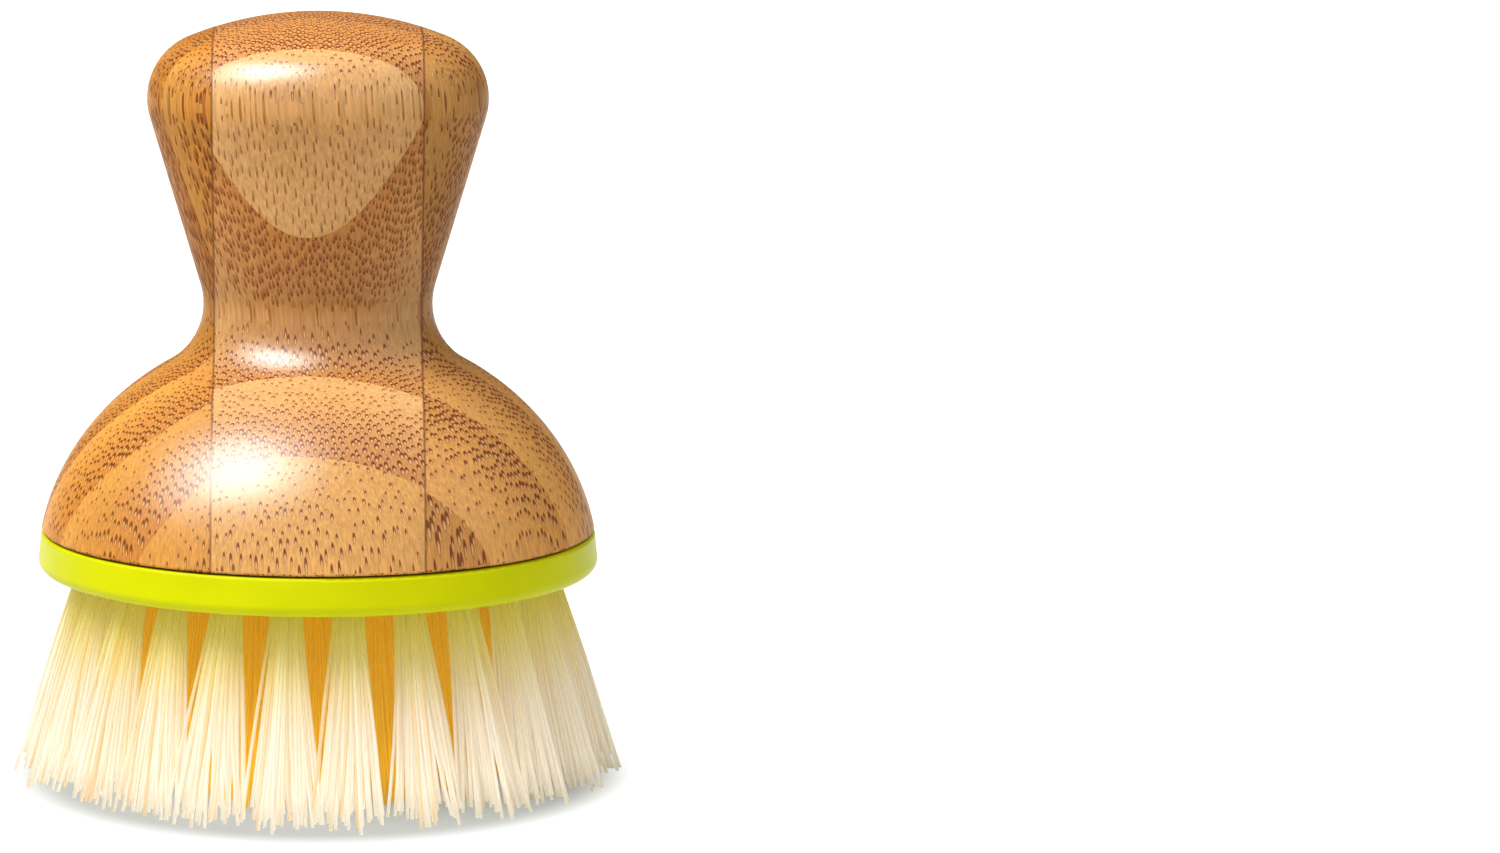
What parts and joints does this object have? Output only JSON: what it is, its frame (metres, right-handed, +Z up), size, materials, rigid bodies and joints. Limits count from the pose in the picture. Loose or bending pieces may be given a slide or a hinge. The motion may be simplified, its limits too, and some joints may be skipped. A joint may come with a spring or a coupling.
{
  "type": "palm brush",
  "caption": "Palm-held scrubbing brush: a turned bamboo knob handle on a round lime plastic head of fanned bristle tufts that twists off for replacement.",
  "frame": {"origin": "on the axis of the handle, in the plane of the bristle tips that the brush stands on", "axes": "+Z up the handle's axis to the crown of the knob; -Y towards the front, where a gap between two outer tufts lies in the middle; the glue lines lie at equal X to each side"},
  "size_m": [0.0748, 0.0748, 0.0944],
  "materials": {
    "bamboo": "turned laminated bamboo under a satin clear lacquer",
    "lime_plastic": "semi-gloss moulded",
    "socket_plastic": "moulded, fine matt",
    "screw_steel": "zinc plated",
    "anchor_wire": "drawn flat wire",
    "cream_bristle": "translucent drawn filament",
    "golden_bristle": "translucent drawn filament"
  },
  "bodies": {
    "handle": {"handle_stave_left": "bamboo", "handle_stave_centre": "bamboo", "handle_stave_right": "bamboo", "socket_insert": "socket_plastic", "socket_screws": "screw_steel"},
    "brush_head": {"brush_base": "lime_plastic", "tuft_outer_01": "cream_bristle", "tuft_outer_02": "cream_bristle", "tuft_outer_03": "cream_bristle", "tuft_outer_04": "cream_bristle", "tuft_outer_05": "cream_bristle", "tuft_outer_06": "cream_bristle", "tuft_outer_07": "cream_bristle", "tuft_outer_08": "cream_bristle", "tuft_outer_09": "cream_bristle", "tuft_outer_10": "cream_bristle", "tuft_outer_11": "cream_bristle", "tuft_outer_12": "cream_bristle", "tuft_outer_13": "cream_bristle", "tuft_outer_14": "cream_bristle", "tuft_outer_15": "cream_bristle", "tuft_outer_16": "cream_bristle", "tuft_outer_17": "cream_bristle", "tuft_outer_18": "cream_bristle", "tuft_outer_19": "cream_bristle", "tuft_outer_20": "cream_bristle", "tuft_outer_21": "cream_bristle", "tuft_outer_22": "cream_bristle", "tuft_outer_23": "cream_bristle", "tuft_outer_24": "cream_bristle", "tuft_middle_01": "golden_bristle", "tuft_middle_02": "golden_bristle", "tuft_middle_03": "golden_bristle", "tuft_middle_04": "golden_bristle", "tuft_middle_05": "golden_bristle", "tuft_middle_06": "golden_bristle", "tuft_middle_07": "golden_bristle", "tuft_middle_08": "golden_bristle", "tuft_middle_09": "golden_bristle", "tuft_middle_10": "golden_bristle", "tuft_middle_11": "golden_bristle", "tuft_middle_12": "golden_bristle", "tuft_middle_13": "golden_bristle", "tuft_middle_14": "golden_bristle", "tuft_middle_15": "golden_bristle", "tuft_middle_16": "golden_bristle", "tuft_inner_01": "golden_bristle", "tuft_inner_02": "golden_bristle", "tuft_inner_03": "golden_bristle", "tuft_inner_04": "golden_bristle", "tuft_inner_05": "golden_bristle", "tuft_inner_06": "golden_bristle", "tuft_inner_07": "golden_bristle", "tuft_inner_08": "golden_bristle", "tuft_centre": "golden_bristle", "tuft_anchors": "anchor_wire"}
  },
  "joints": [
    {"name": "head_twist", "type": "hinge", "parent": "handle", "child": "brush_head", "pos_m": [0, 0, 0.03], "axis": [0, 0, -1], "range_deg": [0, 60]}
  ]
}
